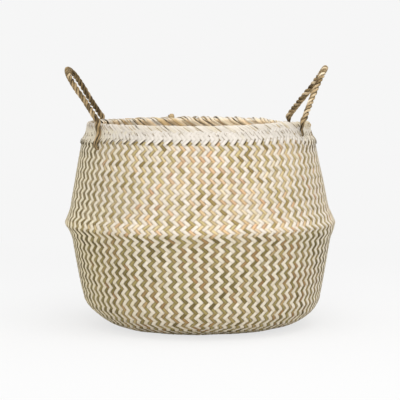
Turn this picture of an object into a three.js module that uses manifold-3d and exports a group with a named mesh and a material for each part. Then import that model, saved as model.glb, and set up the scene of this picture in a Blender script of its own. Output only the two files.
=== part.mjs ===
// Seagrass belly basket with two rope handles.
// One plaited shell of flat seagrass strips rises from a flat base, leans out to a folded belly
// and draws in again to a stiff, doubled border with a wrapped rim. Each handle is a twisted rope
// loop. Its two ends run down the outside of the border, pass through it and are knotted inside.
// The soft upper wall folds down at the belly, so the border can be pushed down into the basket.
// Millimetres, +Z up, -Y is the front, origin at the centre of the underside.

import * as THREE from "three";
import { mergeVertices } from "three/addons/utils/BufferGeometryUtils.js";
import Module from "manifold-3d";

const wasm = await Module();
wasm.setup();

// Shell, from the base up
const baseFlatRadius = 110;
const heelRadius = 184.5;
const heelHeight = 50;
const lowerHeight = 110;
const bellyRadius = 210;
const creaseDepth = 5.5;
const creaseReach = 24;
const creasePower = 1.15;
const upperHeight = 105;
const borderFootRadius = 184;
const borderHeight = 50;
const rimRadius = 172;
const wallThickness = 3;
const borderThickness = 5;
const rimDiameter = 9;

// Rope handles
const ropeDiameter = 8.5;
const hingeStandOff = 6.6;
const hingeLift = 3;
const loopLength = 91.5;
const holeClearance = 0.5;
const knotDiameter = 20;
const knotClearance = 1;
const bendReach = 9;
const bendDrift = 5.5;
const bendReturn = 1;
const uprightRun = 10;
const leastRise = 1;
const degrees = Math.PI / 180;

// Azimuth runs from +X towards the back. Spread is half the angle between a handle's two feet.
// Lean is from the vertical, outwards. Drop is from the rim's top to the hole, and drift is how
// much further round than the foot the hole lies, or less than 0 where it lies less far round.
// Splay is how far the front leg stands out from the loop's plane, and the back leg in from it.
const handles = [
  { side: "left", azimuth: 181, spread: 31.2, lean: 32.8, drop: 37, drift: 2.6, splay: 2.6 },
  { side: "right", azimuth: 2.7, spread: 33.9, lean: 30.6, drop: 19, drift: -3.8, splay: -4.9 },
];

// The loop's line from the front foot to the back one: share of the half span, share of the
// loop's length, share of the splay.
const loopRoute = [
  [-1.0, 0.0, 0.0],
  [-0.99, 0.1, 0.0],
  [-0.87, 0.24, 0.05],
  [-0.73, 0.42, 0.3],
  [-0.65, 0.62, 0.75],
  [-0.48, 0.86, 0.8],
  [0.0, 1.0, 0.0],
  [0.48, 0.86, -0.8],
  [0.65, 0.62, -0.75],
  [0.73, 0.42, -0.3],
  [0.87, 0.24, -0.05],
  [0.99, 0.1, 0.0],
  [1.0, 0.0, 0.0],
];

// Clearance between touching pieces, how far a cutter runs past what it cuts, and how finely
// round shapes are divided
const gap = 0.3;
const cutOverrun = 10;
const mergeDistance = 1e-3;
const shellSegments = 48;
const heelSteps = 6;
const wallSteps = 7;
const foldCrowding = 1.5;
const rimSides = 10;
const ropeSides = 10;
const loopSteps = 48;
const tailSteps = 14;
const ballSides = 12;
const ballRings = 8;

// Heights and radii that follow from the sizes above
const bellyHeight = heelHeight + lowerHeight;
const borderFoot = bellyHeight + upperHeight;
const rimTop = borderFoot + borderHeight;
const ropeRadius = ropeDiameter / 2;
const rimRingRadius = rimRadius - borderThickness / 2;
const rimRingHeight = rimTop - rimDiameter / 2;
const borderTop = rimTop - rimDiameter - gap;
const hingeRadius = rimRadius + hingeStandOff;
const hingeHeight = rimTop + hingeLift;
const tailTop = hingeHeight - ropeDiameter - gap;

// Materials
const bleachedStrip = { color: 0xe8dfca, roughness: 0.85, metalness: 0 };
const naturalStrip = { color: 0xb79b66, roughness: 0.85, metalness: 0 };
const twistedRope = { color: 0xa88d5c, roughness: 0.9, metalness: 0 };

const basket = new THREE.Group();

function addMesh(name, geometry, finish) {
  const mesh = new THREE.Mesh(geometry, new THREE.MeshStandardMaterial(finish));
  mesh.name = name;
  basket.add(mesh);
}

// A closed three.js geometry as a solid that can be joined or cut.
function solidFrom(geometry) {
  const bare = geometry.clone();
  bare.deleteAttribute("normal");
  bare.deleteAttribute("uv");
  const merged = mergeVertices(bare, mergeDistance);
  return new wasm.Manifold(
    new wasm.Mesh({
      numProp: 3,
      vertProperties: merged.attributes.position.array,
      triVerts: new Uint32Array(merged.index.array),
    }),
  );
}

function geometryFrom(solid) {
  const mesh = solid.getMesh();
  const geometry = new THREE.BufferGeometry();
  geometry.setAttribute("position", new THREE.BufferAttribute(mesh.vertProperties, 3));
  geometry.setIndex(new THREE.BufferAttribute(mesh.triVerts, 1));
  geometry.computeVertexNormals();
  return geometry;
}

// Outer radius of the side wall at a height: three straight leans, with the fold standing proud.
function wallRadius(height) {
  const lineAtBelly = bellyRadius - creaseDepth;
  const stations = [
    [heelHeight, heelRadius],
    [bellyHeight, lineAtBelly],
    [borderFoot, borderFootRadius],
    [rimTop, rimRadius],
  ];
  let lower = 0;
  while (lower < stations.length - 2 && height > stations[lower + 1][0]) lower += 1;
  const [footHeight, footRadius] = stations[lower];
  const [headHeight, headRadius] = stations[lower + 1];
  const share = (height - footHeight) / (headHeight - footHeight);
  const away = Math.abs(height - bellyHeight) / creaseReach;
  const proud = away < 1 ? creaseDepth * (1 - away) ** creasePower : 0;
  return footRadius + (headRadius - footRadius) * share + proud;
}

// A ring around the basket's axis from an outer and an inner line, both listed from the foot up.
function ringFrom(outer, inner) {
  const loop = [...outer, ...inner.reverse()];
  loop.push(loop[0].clone());
  return new THREE.LatheGeometry(loop, shellSegments).rotateX(Math.PI / 2);
}

// Points on the wall from one height to another, set in by a depth, closer together at the fold.
function wallLine(from, to, depth) {
  const line = [];
  for (let step = 0; step <= wallSteps; step += 1) {
    const share = step / wallSteps;
    const eased =
      from < bellyHeight ? 1 - (1 - share) ** foldCrowding : share ** foldCrowding;
    const height = from + (to - from) * eased;
    line.push(new THREE.Vector2(wallRadius(height) - depth, height));
  }
  return line;
}

// The flat middle of the base
function baseGeometry() {
  const profile = [
    new THREE.Vector2(0, 0),
    new THREE.Vector2(baseFlatRadius, 0),
    new THREE.Vector2(baseFlatRadius, wallThickness),
    new THREE.Vector2(0, wallThickness),
  ];
  return new THREE.LatheGeometry(profile, shellSegments).rotateX(Math.PI / 2);
}

// The rounded heel, where the base turns up into the wall
function heelLine(depth) {
  const line = [];
  for (let step = 0; step <= heelSteps; step += 1) {
    const angle = (step / heelSteps) * (Math.PI / 2);
    const reach = heelRadius - baseFlatRadius - depth;
    const radius = baseFlatRadius + Math.max(gap, reach * Math.sin(angle));
    const height = heelHeight - (heelHeight - depth) * Math.cos(angle);
    line.push(new THREE.Vector2(radius, Math.min(height, heelHeight - gap / 2)));
  }
  return line;
}

function heelGeometry() {
  return ringFrom(heelLine(0), heelLine(wallThickness));
}

// The lower wall, from the heel to the fold
function lowerWallGeometry() {
  const foot = heelHeight + gap / 2;
  const top = bellyHeight - gap / 2;
  return ringFrom(wallLine(foot, top, 0), wallLine(foot, top, wallThickness));
}

// The soft upper wall, from the fold to the border
function upperWallGeometry() {
  const foot = bellyHeight + gap / 2;
  const top = borderFoot - gap / 2;
  return ringFrom(wallLine(foot, top, 0), wallLine(foot, top, wallThickness));
}

// A radial hole through the border for each rope end
function holeCutter(azimuth, height) {
  const length = 2 * (borderThickness + cutOverrun);
  const radius = ropeRadius + holeClearance;
  const cutter = new THREE.CylinderGeometry(radius, radius, length, ballSides);
  cutter.rotateZ(Math.PI / 2);
  cutter.translate(wallRadius(height), 0, height);
  cutter.rotateZ(azimuth * degrees);
  return solidFrom(cutter);
}

// The doubled border: strips turned over at the rim and plaited back down
function borderGeometry() {
  const line = (depth) =>
    [borderFoot + gap / 2, borderTop].map(
      (height) => new THREE.Vector2(wallRadius(height) - depth, height),
    );
  let border = solidFrom(ringFrom(line(0), line(borderThickness)));
  for (const handle of handles) {
    for (const foot of feetOf(handle)) {
      border = border.subtract(holeCutter(foot.holeAzimuth, rimTop - handle.drop));
    }
  }
  return geometryFrom(border);
}

// A handle's two feet, front one first, with the azimuth of each one's hole. The front is -Y.
function feetOf(handle) {
  const leftwards = Math.cos(handle.azimuth * degrees) < 0;
  const toFront = leftwards ? 1 : -1;
  const toHole = handle.spread + handle.drift;
  return [
    {
      place: "front",
      azimuth: handle.azimuth + toFront * handle.spread,
      holeAzimuth: handle.azimuth + toFront * toHole,
    },
    {
      place: "back",
      azimuth: handle.azimuth - toFront * handle.spread,
      holeAzimuth: handle.azimuth - toFront * toHole,
    },
  ];
}

function ropeSection() {
  const section = new THREE.Shape();
  for (let side = 0; side < ropeSides; side += 1) {
    const angle = (side / ropeSides) * 2 * Math.PI;
    const x = ropeRadius * Math.cos(angle);
    const y = ropeRadius * Math.sin(angle);
    if (side === 0) section.moveTo(x, y);
    else section.lineTo(x, y);
  }
  section.closePath();
  return section;
}

function ropeAlong(path, steps) {
  return solidFrom(
    new THREE.ExtrudeGeometry(ropeSection(), { steps, extrudePath: path, curveSegments: 1 }),
  );
}

function ropeEnd(point) {
  const ball = new THREE.SphereGeometry(ropeRadius, ballSides, ballRings);
  return solidFrom(ball.translate(point.x, point.y, point.z));
}

// The loop that swings, with a round end at each foot
function loopGeometry(handle) {
  const azimuth = handle.azimuth * degrees;
  const outward = new THREE.Vector3(Math.cos(azimuth), Math.sin(azimuth), 0);
  const toBack = new THREE.Vector3(-outward.y, outward.x, 0);
  if (toBack.y < 0) toBack.negate();
  const lean = handle.lean * degrees;
  const up = new THREE.Vector3(0, 0, 1);
  const along = outward.clone().multiplyScalar(Math.sin(lean)).addScaledVector(up, Math.cos(lean));
  const normal = outward.clone().multiplyScalar(Math.cos(lean)).addScaledVector(up, -Math.sin(lean));
  const halfSpan = hingeRadius * Math.sin(handle.spread * degrees);
  const middle = outward.clone().multiplyScalar(hingeRadius * Math.cos(handle.spread * degrees));
  middle.z = hingeHeight;
  const points = loopRoute.map(([span, length, splay]) =>
    middle
      .clone()
      .addScaledVector(toBack, span * halfSpan)
      .addScaledVector(along, length * loopLength)
      .addScaledVector(normal, splay * handle.splay),
  );
  const path = new THREE.CatmullRomCurve3(points, false, "centripetal");
  const rope = ropeAlong(path, loopSteps)
    .add(ropeEnd(points[0]))
    .add(ropeEnd(points[points.length - 1]));
  return geometryFrom(rope);
}

// The rope end that stays on the border: in the hole, round the bend and up to the rim
function tailGeometry(handle, foot) {
  const holeHeight = rimTop - handle.drop;
  const outerRadius = wallRadius(holeHeight);
  const innerEnd = outerRadius - borderThickness - knotClearance + gap;
  const at = (radius, height) => {
    const climbed = (height - holeHeight) / (tailTop - holeHeight);
    const azimuth = foot.holeAzimuth + (foot.azimuth - foot.holeAzimuth) * climbed;
    const turned = azimuth * degrees;
    return new THREE.Vector3(radius * Math.cos(turned), radius * Math.sin(turned), height);
  };
  const bendStart = at(outerRadius - borderThickness / 2, holeHeight);
  const bendCorner = at(outerRadius + bendDrift, holeHeight);
  const bendEnd = at(outerRadius + bendDrift - bendReturn, holeHeight + bendReach);
  const leastHeight = holeHeight + bendReach + leastRise;
  const uprightHeight = Math.max(tailTop - uprightRun, leastHeight);
  const clearRadius = wallRadius(uprightHeight) + ropeRadius + gap;
  const uprightFoot = at(Math.max(hingeRadius, clearRadius), uprightHeight);
  const top = at(hingeRadius, tailTop);
  const path = new THREE.CurvePath();
  path.add(new THREE.LineCurve3(at(innerEnd, holeHeight), bendStart));
  path.add(new THREE.QuadraticBezierCurve3(bendStart, bendCorner, bendEnd));
  path.add(new THREE.LineCurve3(bendEnd, uprightFoot));
  path.add(new THREE.LineCurve3(uprightFoot, top));
  return geometryFrom(ropeAlong(path, tailSteps).add(ropeEnd(top)));
}

// The knot that stops the rope end inside the border
function knotGeometry(handle, foot) {
  const height = rimTop - handle.drop;
  const radius = wallRadius(height) - borderThickness - knotClearance - knotDiameter / 2;
  const knot = new THREE.SphereGeometry(knotDiameter / 2, ballSides, ballRings);
  knot.translate(radius, 0, height);
  knot.rotateZ(foot.holeAzimuth * degrees);
  return knot;
}

addMesh("base_mat", baseGeometry(), naturalStrip);
addMesh("heel", heelGeometry(), naturalStrip);
addMesh("lower_wall", lowerWallGeometry(), naturalStrip);
addMesh("upper_wall", upperWallGeometry(), naturalStrip);
addMesh("border_band", borderGeometry(), bleachedStrip);
const rimRing = new THREE.TorusGeometry(rimRingRadius, rimDiameter / 2, rimSides, shellSegments);
addMesh("rim_wrap", rimRing.translate(0, 0, rimRingHeight), bleachedStrip);

for (const handle of handles) {
  addMesh(`${handle.side}_handle_loop`, loopGeometry(handle), twistedRope);
  for (const foot of feetOf(handle)) {
    const end = `${handle.side}_${foot.place}`;
    addMesh(`${end}_rope_tail`, tailGeometry(handle, foot), twistedRope);
    addMesh(`${end}_knot`, knotGeometry(handle, foot), twistedRope);
  }
}

export default basket;
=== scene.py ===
"""A seagrass belly basket with two rope handles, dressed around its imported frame.

The order is the basket maker's: the strips are plaited from the middle of the base up to the rim, the
border is doubled and the rim bound, then the rope handles go on and are knotted inside.
Everything is in metres, +Z up, -Y the front, with the basket standing on z = 0.
"""

from math import asin, atan2, cos, degrees, pi, radians, sin, tan

import bpy
import numpy as np
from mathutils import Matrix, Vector


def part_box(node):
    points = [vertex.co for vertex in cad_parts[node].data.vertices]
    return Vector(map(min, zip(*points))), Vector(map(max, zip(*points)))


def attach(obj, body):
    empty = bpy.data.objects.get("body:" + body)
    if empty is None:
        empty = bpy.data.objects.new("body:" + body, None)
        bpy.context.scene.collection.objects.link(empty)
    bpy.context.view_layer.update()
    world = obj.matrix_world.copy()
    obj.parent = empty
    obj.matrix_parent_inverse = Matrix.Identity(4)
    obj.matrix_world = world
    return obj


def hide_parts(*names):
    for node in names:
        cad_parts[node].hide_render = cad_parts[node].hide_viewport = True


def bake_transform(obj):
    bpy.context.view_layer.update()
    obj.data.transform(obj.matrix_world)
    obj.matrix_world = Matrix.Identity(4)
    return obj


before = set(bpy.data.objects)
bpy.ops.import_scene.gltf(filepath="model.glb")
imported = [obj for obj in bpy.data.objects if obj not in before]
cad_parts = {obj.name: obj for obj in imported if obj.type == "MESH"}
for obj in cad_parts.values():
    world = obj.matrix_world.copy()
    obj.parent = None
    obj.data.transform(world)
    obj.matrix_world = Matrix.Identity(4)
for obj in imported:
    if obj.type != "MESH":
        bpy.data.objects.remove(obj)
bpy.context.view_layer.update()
bpy.ops.object.select_all(action="DESELECT")

# Camera, floor and light
# The photograph looks at the basket from the front and a little above the rim, from nearly 3 m.
# The floor is pale and keeps only a faint shadow. Beyond it the background is the same white.
CAMERA_DISTANCE = 2.8
CAMERA_HEIGHT = 0.429
CAMERA_FAR = 50
AIM = Vector((0.0012, 0.0, 0.193))
VIEW_WIDTH = 0.62
SENSOR = 36.0
BACKDROP = (0.922, 0.922, 0.922, 1)
AMBIENT = 0.68
FLOOR_RADIUS = 2.6
FLOOR_FADE = (0.55, 1.3)
FLOOR_SHADOW = 0.22
SOFTBOXES = [
    ("top_softbox", (0.25, -0.7, 2.2), 1.8, 28.0),
    ("front_softbox", (0.1, -2.7, 1.1), 1.4, 24.0),
]

bpy.ops.object.camera_add(location=(AIM.x, -CAMERA_DISTANCE, CAMERA_HEIGHT))
camera = bpy.context.object
camera.name = "camera"
camera.rotation_euler = (AIM - camera.location).to_track_quat("-Z", "Y").to_euler()
camera.data.sensor_width = SENSOR
camera.data.lens = SENSOR * (AIM - camera.location).length / VIEW_WIDTH
camera.data.clip_end = CAMERA_FAR
bpy.context.scene.camera = camera


def feed(tree, socket, term):
    """Gives a socket its term: another node's output, or a value."""
    if isinstance(term, bpy.types.NodeSocket):
        tree.links.new(term, socket)
    else:
        socket.default_value = term


def node_in(tree, kind, **terms):
    """A new shader node, with each named input fed."""
    made = tree.nodes.new(kind)
    for name, term in terms.items():
        feed(tree, made.inputs[name.replace("_", " ")], term)
    return made


def math_in(tree, operation, *terms):
    """What a math node makes of the terms."""
    made = tree.nodes.new("ShaderNodeMath")
    made.operation = operation
    for socket, term in zip(made.inputs, terms):
        feed(tree, socket, term)
    return made.outputs[0]


def range_in(tree, value, smooth=False, **ends):
    """A value carried from one range to another."""
    made = node_in(tree, "ShaderNodeMapRange", Value=value, **ends)
    if smooth:
        made.interpolation_type = "SMOOTHSTEP"
    return made.outputs[0]


def end_in_mix(tree, share, first, second, output):
    """Ends a tree in its output, with a mix of two shaders."""
    mix = tree.nodes.new("ShaderNodeMixShader")
    for socket, term in zip(mix.inputs, (share, first.outputs[0], second.outputs[0])):
        tree.links.new(term, socket)
    tree.links.new(mix.outputs[0], tree.nodes.new(output).inputs["Surface"])


world = bpy.data.worlds.new("studio")
bpy.context.scene.world = world
world.use_nodes = True
sky = world.node_tree
sky.nodes.clear()
ambient = node_in(sky, "ShaderNodeBackground", Color=(1, 1, 1, 1), Strength=AMBIENT)
white = node_in(sky, "ShaderNodeBackground", Color=BACKDROP, Strength=1)
rays = sky.nodes.new("ShaderNodeLightPath").outputs
seen = math_in(sky, "MAXIMUM", rays["Is Camera Ray"], rays["Is Glossy Ray"])
seen = math_in(sky, "MAXIMUM", seen, rays["Is Transmission Ray"])
end_in_mix(sky, seen, ambient, white, "ShaderNodeOutputWorld")

bpy.ops.mesh.primitive_circle_add(vertices=96, radius=FLOOR_RADIUS, fill_type="NGON")
floor = bpy.context.object
floor.name = "floor"
floor_paint = bpy.data.materials.new("floor_paint")
floor_paint.use_nodes = True
tree = floor_paint.node_tree
tree.nodes.clear()
matt = node_in(tree, "ShaderNodeBsdfDiffuse", Color=BACKDROP)
glow = node_in(tree, "ShaderNodeEmission", Color=BACKDROP, Strength=1)
rays = tree.nodes.new("ShaderNodeLightPath").outputs
reach = tree.nodes.new("ShaderNodeVectorMath")
reach.operation = "LENGTH"
tree.links.new(tree.nodes.new("ShaderNodeTexCoord").outputs["Object"], reach.inputs[0])
fade = range_in(
    tree,
    reach.outputs["Value"],
    smooth=True,
    From_Min=FLOOR_FADE[0],
    From_Max=FLOOR_FADE[1],
    To_Min=1 - FLOOR_SHADOW,
)
glowing = math_in(tree, "MULTIPLY", fade, rays["Is Camera Ray"])
end_in_mix(tree, glowing, matt, glow, "ShaderNodeOutputMaterial")
floor.data.materials.append(floor_paint)

for name, location, size, watts in SOFTBOXES:
    bpy.ops.object.light_add(type="AREA", location=location)
    lamp = bpy.context.object
    lamp.name = name
    lamp.data.size = size
    lamp.data.energy = watts
    lamp.rotation_euler = (AIM - lamp.location).to_track_quat("-Z", "Y").to_euler()
bpy.context.scene.view_settings.view_transform = "Standard"

# The plaited strips
# One plaiting of 160 flat seagrass strips, 80 along and 80 across the base, every second one
# bleached. They cross the base square to each other, turn up at the heel and climb the wall on the
# slant to both sides, over two and under two, which makes the upright zigzags.
STRIPS_ROUND = 160
QUARTER = STRIPS_ROUND // 4
STRIP_PITCH = 0.0054
STRIP_THICKNESS = 0.0013
WEAVE_HALF = 0.0015
RIM_TUBE = 0.0034
RIM_ROOM = 0.0028

base_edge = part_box("base_mat")[1].x
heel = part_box("heel")[1]
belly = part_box("lower_wall")[1]
border_low, border_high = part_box("border_band")
rim_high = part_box("rim_wrap")[1]
rim_ring = rim_high.x - RIM_ROOM - RIM_TUBE


def smoothstep(value, low, high):
    """From 0 at the low value to 1 at the high one, with soft ends."""
    share = np.clip((value - low) / (high - low), 0, 1)
    return share * share * (3 - 2 * share)


def hump(value, middle, reach):
    """From 1 at the middle down to almost nothing at twice the reach from it."""
    return np.exp(-(((value - middle) / reach) ** 2))


def unit(vectors):
    return vectors / np.linalg.norm(vectors, axis=-1, keepdims=True)


def side_of(line, out):
    return unit(np.cross(out, unit(np.gradient(line, axis=0))))


def with_normals(radius, height):
    """An outline's radius and height, and its outward normal."""
    step_r, step_z = np.gradient(radius), np.gradient(height)
    size = np.hypot(step_r, step_z)
    return radius, height, step_z / size, -step_r / size


CREASE_DEPTH = 0.0055
CREASE_REACH = 0.024
CREASE_POWER = 1.15
BORDER_SHOULDER = (0.2865, 0.1822)
BORDER_NECK = (0.2965, 0.1754)


def wall_radius(height):
    """Outer radius of the side wall at a height, with the fold standing proud at the belly and the
    border drawn in towards the rim."""
    stations = [
        (heel.z, heel.x),
        (belly.z, belly.x - CREASE_DEPTH),
        (border_low.z, border_high.x),
        BORDER_SHOULDER,
        BORDER_NECK,
        (rim_high.z, rim_ring + RIM_TUBE),
    ]
    away = np.abs(height - belly.z) / CREASE_REACH
    proud = CREASE_DEPTH * np.clip(1 - away, 0, 1) ** CREASE_POWER
    return np.interp(height, *zip(*stations)) + proud


PROFILE_STEP = 0.0005
BASE_POINTS = 220
HEEL_POINTS = 200
CREASE_ROUNDING = 0.0016


def shell_profile():
    """Length, radius, height and outward normal along the shell's outer line, from base to rim."""
    turn = np.linspace(0, pi / 2, HEEL_POINTS)[1:]
    heights = np.arange(heel.z, rim_high.z, PROFILE_STEP)[1:]
    base = np.linspace(0, base_edge, BASE_POINTS)
    radius = np.concatenate([base, base_edge + (heel.x - base_edge) * np.sin(turn), wall_radius(heights)])
    height = np.concatenate([np.zeros(BASE_POINTS), heel.z * (1 - np.cos(turn)), heights])
    along = np.concatenate([[0], np.cumsum(np.hypot(np.diff(radius), np.diff(height)))])
    even = np.arange(0, along[-1], PROFILE_STEP)
    reach = int(3 * CREASE_ROUNDING / PROFILE_STEP)
    kernel = np.exp(-0.5 * (np.arange(-reach, reach + 1) * PROFILE_STEP / CREASE_ROUNDING) ** 2)
    kernel /= kernel.sum()
    smooth = []
    for line in (radius, height):
        padded = np.pad(np.interp(even, along, line), reach, mode="reflect", reflect_type="odd")
        smooth.append(np.convolve(padded, kernel, "valid"))
    return even, *with_normals(*smooth)


profile_along, *profile_lines = shell_profile()

LEAN_BELOW = 0.0026
LEAN_ABOVE = -0.0012
LEAN_BELOW_ENDS = (-0.012, 0.004)
LEAN_ABOVE_REACH = 0.04


def lean(height):
    """How far the shell stands to the right: a little below the fold, and to the left above it."""
    below = 1 - smoothstep(height, belly.z + LEAN_BELOW_ENDS[0], belly.z + LEAN_BELOW_ENDS[1])
    above = smoothstep(height, belly.z, belly.z + LEAN_ABOVE_REACH)
    return LEAN_BELOW * below + LEAN_ABOVE * above


# Where the rim dips and rises: azimuth and reach in degrees, and the rise
RIM_WAVES = [(36, 15, -0.0045), (-40, 17, 0.0032)]


def rim_wave(turn):
    """How far the top of the border stands above or below its level round the basket."""
    wave = np.zeros_like(turn)
    for azimuth, reach, rise in RIM_WAVES:
        wave = wave + rise * hump((np.degrees(turn) - azimuth + 180) % 360 - 180, 0, reach)
    return wave


# The hand-plaited shell is a little uneven. The swells of the wall are given by their size, their
# number round it, where they start and how fast they turn with the height. The heel's lumps are
# given by their share, number and start.
WALL_SWELLS = [(0.0007, 3, 0.8, 0), (0.0005, 7, 2.1, 0), (0.0004, 11, 0, 40)]
SWELLS_FROM = (0.01, 0.06)
SWELLS_TO = (0.22, 0.27)
HEEL_LUMPS = [(0.3, 4, 0.5), (0.2, 9, 1.0), (0.15, 17, 0)]
HEEL_LUMP_MEAN = 0.5
HEEL_LUMP_SIZE = 0.0016
HEEL_LUMP_RADIUS = 0.145
HEEL_LUMP_REACH = 0.03
HEEL_LUMP_TOP = (0.02, 0.05)
FOLD_WAVES = 5
FOLD_WAVE_START = 1.3
FOLD_WAVE_SIZE = 0.0009
FOLD_WAVE_REACH = 0.02
HEEL_CUT = 0.0075
HEEL_CUT_HEIGHT = 0.02
HEEL_CUT_SHARPNESS = 3
HEEL_CUT_FOCUS = 2.5
RIM_WAVE_FROM = 0.01
RIM_WAVE_TO = 0.008


def shell_point(along, turn, lift):
    """Points at a length along the outer line and an angle round the basket, lifted off the surface.
    The shell leans, the wall swells in and out, the heel is lumpy, and on the left it is cut in."""
    radius, height, out_r, out_z = (np.interp(along, profile_along, line) for line in profile_lines)
    swell = 0
    for size, count, start, climb in WALL_SWELLS:
        swell = swell + size * np.sin(count * turn + start + climb * height)
    radius = radius + smoothstep(height, *SWELLS_FROM) * (1 - smoothstep(height, *SWELLS_TO)) * swell
    near_fold = hump(height, belly.z, FOLD_WAVE_REACH)
    near_heel = hump(radius, HEEL_LUMP_RADIUS, HEEL_LUMP_REACH) * (1 - smoothstep(height, *HEEL_LUMP_TOP))
    lumps = sum((share * np.sin(count * turn + start) for share, count, start in HEEL_LUMPS), HEEL_LUMP_MEAN)
    fold_wave = near_fold * FOLD_WAVE_SIZE * np.sin(FOLD_WAVES * turn + FOLD_WAVE_START)
    height = height + fold_wave + near_heel * HEEL_LUMP_SIZE * lumps
    low = (height / HEEL_CUT_HEIGHT * np.exp(1 - height / HEEL_CUT_HEIGHT)) ** HEEL_CUT_SHARPNESS
    radius = radius - HEEL_CUT * low * np.exp(-HEEL_CUT_FOCUS * (1 + np.cos(turn)))
    waving = smoothstep(height, border_low.z + RIM_WAVE_FROM, rim_high.z - RIM_WAVE_TO)
    height = height + rim_wave(turn) * waving
    radius, height = radius + lift * out_r, height + lift * out_z
    return np.stack([radius * np.cos(turn) + lean(height), radius * np.sin(turn), height], axis=-1)


BASE_TURN = 0.1706
STEEPEST_SLANT = 0.87


def row_lengths():
    """Length along the outer line of each row of crossings, so that every strip keeps its width."""
    rows = [BASE_TURN * (s + 1) / QUARTER for s in range(QUARTER)]
    while rows[-1] < profile_along[-1]:
        radius = np.interp(rows[-1], profile_along, profile_lines[0])
        slant = asin(min(STEEPEST_SLANT, STRIPS_ROUND * STRIP_PITCH / (2 * pi * radius)))
        rows.append(rows[-1] + pi * radius / STRIPS_ROUND * tan(slant))
    return np.array(rows)


rows = row_lengths()


def plait_point(quarter, i, j, lift):
    """The place of crossing (i, j) of a quarter of the base or, past its edge, of the wall above it.
    i counts the strips along the quarter's first side and j those along its second."""
    row = i + j
    flat = np.stack([(i + 0.5) * STRIP_PITCH, (j + 0.5) * STRIP_PITCH])
    along_flat, turn_flat = np.hypot(*flat), np.arctan2(flat[1], flat[0])
    along_round = np.interp(row, np.arange(len(rows)), rows)
    turn_base = pi / 2 * (j + 0.5) / (np.minimum(row, QUARTER - 1) + 1)
    turn_wall = pi * (j - i + QUARTER) / STRIPS_ROUND
    turn_round = np.where(row < QUARTER - 1, turn_base, turn_wall)
    share = smoothstep(row, 0, QUARTER - 1)
    along = along_flat + (along_round - along_flat) * share
    turn = turn_flat + (turn_round - turn_flat) * share
    return shell_point(along, quarter * pi / 2 + turn, lift)


SECTION_OFFSET = 0.32
STRIP_RISE = 0.00072
RISE_AT_FLOAT_ENDS = 0.75
RISE_IN_FLOAT = 1.15


def sections_at(cells):
    """Two sections of a strip for each crossing that it goes over or under."""
    return np.stack([cells - SECTION_OFFSET, cells + SECTION_OFFSET], axis=1).ravel()


def strip_line(quarter, index, last_row):
    """One whole strip from rim to rim: the rising leg in its quarter, the base, and the falling leg in
    the quarter before. Gives the sections' place, outward normal, step to the next strip, float and
    height off the middle of the plaiting."""
    cells = np.arange(last_row - index + 1)
    steps = sections_at(cells)
    fixed = np.full(steps.shape, float(index))
    legs = []
    for rising, where, i, j in ((True, quarter, fixed, steps), (False, quarter - 1, steps, fixed)):
        middle = plait_point(where, i, j, -WEAVE_HALF)
        normal = unit(plait_point(where, i, j, 0.0) - middle)
        half_i, half_j = (0.5, 0.0) if rising else (0.0, 0.5)
        across = plait_point(where, i + half_i, j + half_j, -WEAVE_HALF)
        across = across - plait_point(where, i - half_i, j - half_j, -WEAVE_HALF)
        row = np.repeat(index + cells, 2)
        phase = row % 4 if rising else (row + 2) % 4
        at_end = np.tile([0, 1], len(cells)) == np.where(phase % 2 == 0, 0, 1)
        over = np.where(phase < 2, 1.0, -1.0)
        rise = over * np.where(at_end, RISE_AT_FLOAT_ENDS, RISE_IN_FLOAT) * STRIP_RISE
        floats = row // 2 + (0 if rising else len(rows))
        legs.append([middle, normal, across, floats, rise])
    return [np.concatenate([rising[::-1], falling]) for rising, falling in zip(*legs)]


# The octaves of the noise, each with its weight
OCTAVES = [(1.0, 0.6), (2.3, 0.4)]


def slow_noise(length, size, wave, generator):
    """Smooth noise of a size along a strip, with humps about one wave long."""
    noise = np.zeros_like(length)
    for octave, weight in OCTAVES:
        noise += weight * np.sin(2 * pi * octave * length / wave + generator.uniform(0, 2 * pi))
    return size * noise


LOOKS = ("tone", "shade", "lit_or_outer_face")
LEAF_LEAD = 0.013


def line_lengths(line):
    return np.concatenate([[0], np.cumsum(np.linalg.norm(np.diff(line, axis=0), axis=1))])


def give_look(mesh, key, values):
    attribute = mesh.attributes.new(key, "FLOAT", "POINT")
    attribute.data.foreach_set("value", values.astype(np.float32))


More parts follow.
